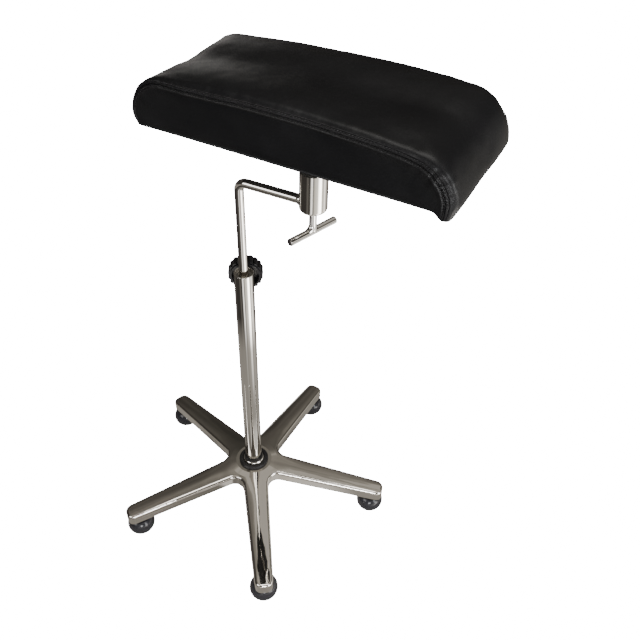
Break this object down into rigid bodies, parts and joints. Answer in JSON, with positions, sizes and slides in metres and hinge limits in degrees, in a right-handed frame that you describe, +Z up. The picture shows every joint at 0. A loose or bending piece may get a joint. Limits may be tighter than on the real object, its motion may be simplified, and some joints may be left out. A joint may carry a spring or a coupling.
{
  "type": "tattoo arm rest stand",
  "caption": "Height-adjustable arm rest stand: black padded rest on a ball joint, bent rod in a chromed mast, five-arm star base on ball glides.",
  "frame": {"origin": "on the floor, under the axis of the mast", "axes": "+Z up the mast; +X along the pad's length and, to within a few degrees, out along the arm; one arm of the star lies along +Y"},
  "size_m": [0.5796, 0.4661, 0.8705],
  "materials": {
    "polished_casting": "cast, polished to a mirror",
    "glide_plastic": "gloss moulded",
    "zinc_steel": "zinc plated",
    "black_plastic": "satin moulded",
    "black_rubber": "matt",
    "chrome_steel": "chromed, mirror bright",
    "brass": "turned",
    "nylon": "moulded",
    "black_steel": "powder coated",
    "plywood": "raw plywood",
    "foam": "upholstery foam",
    "leather": "pebbled synthetic leather, satin",
    "black_cloth": "non-woven dust cloth"
  },
  "bodies": {
    "base": {"star_base": "polished_casting", "glide_1": "glide_plastic", "glide_2": "glide_plastic", "glide_3": "glide_plastic", "glide_4": "glide_plastic", "glide_5": "glide_plastic", "glide_stem_1": "zinc_steel", "glide_stem_2": "zinc_steel", "glide_stem_3": "zinc_steel", "glide_stem_4": "zinc_steel", "glide_stem_5": "zinc_steel", "hub_collar": "black_plastic", "hub_dome_ring": "chrome_steel", "hub_seal_ring": "black_rubber", "mast_tube": "chrome_steel", "mast_foot_insert": "zinc_steel", "mast_washer": "zinc_steel", "mast_bolt": "zinc_steel", "mast_head_plug": "chrome_steel", "knob_boss": "chrome_steel"},
    "shoe": {"clamp_shoe": "brass"},
    "knob": {"knob_body": "black_plastic", "knob_stud": "zinc_steel"},
    "bush": {"guide_bush": "nylon"},
    "arm": {"arm_rod": "chrome_steel", "rod_end_washer": "zinc_steel", "rod_end_screw": "zinc_steel", "head_boss": "chrome_steel", "head_ring": "chrome_steel"},
    "plug": {"pressure_plug": "zinc_steel"},
    "clamp": {"clamp_screw": "chrome_steel", "clamp_bar": "chrome_steel"},
    "cup": {"seat_cup": "nylon"},
    "stud": {"ball_stud": "zinc_steel", "stud_washer": "zinc_steel", "stud_nut": "zinc_steel"},
    "pad": {"pad_plate": "black_steel", "plate_screw_1": "zinc_steel", "plate_screw_2": "zinc_steel", "plate_screw_3": "zinc_steel", "plate_screw_4": "zinc_steel", "pad_under_cloth": "black_cloth", "pad_board": "plywood", "pad_foam": "foam", "pad_cover_top": "leather", "pad_cover_front": "leather", "pad_cover_back": "leather"}
  },
  "joints": [
    {"name": "height_slide", "type": "slide", "parent": "base", "child": "bush", "axis": [0, 0, 1], "range_m": [-0.125, 0.23]},
    {"name": "arm_swing", "type": "hinge", "parent": "bush", "child": "arm", "pos_m": [0, 0, 0.5], "axis": [0, 0, 1], "continuous": true},
    {"name": "shoe_slide", "type": "slide", "parent": "base", "child": "shoe", "axis": [-0.5, 0.866, 0], "range_m": [0, 0.0025]},
    {"name": "knob_turn", "type": "hinge", "parent": "shoe", "child": "knob", "pos_m": [0, 0, 0.508], "axis": [-0.5, 0.866, 0], "range_deg": [0, 725]},
    {"name": "plug_slide", "type": "slide", "parent": "arm", "child": "plug", "axis": [0, 0, 1], "range_m": [-0.003, 0]},
    {"name": "clamp_turn", "type": "hinge", "parent": "plug", "child": "clamp", "pos_m": [0.1149, 0.00482, 0.65], "axis": [0, 0, 1], "range_deg": [-725, 0]},
    {"name": "ball_swivel", "type": "hinge", "parent": "arm", "child": "cup", "pos_m": [0.1149, 0.00482, 0.7364], "axis": [0, 0, 1], "continuous": true},
    {"name": "pad_tilt", "type": "hinge", "parent": "cup", "child": "stud", "pos_m": [0.1149, 0.00482, 0.7364], "axis": [0, 1, 0], "range_deg": [-22, 22]},
    {"name": "pad_turn", "type": "hinge", "parent": "stud", "child": "pad", "pos_m": [0.1149, 0.00482, 0.79], "axis": [0, 0, 1], "continuous": true}
  ],
  "couplings": [
    {"joint": "knob_turn", "follows": "shoe_slide", "rad_per_m": 5026.5},
    {"joint": "clamp_turn", "follows": "plug_slide", "rad_per_m": 4188.8}
  ]
}
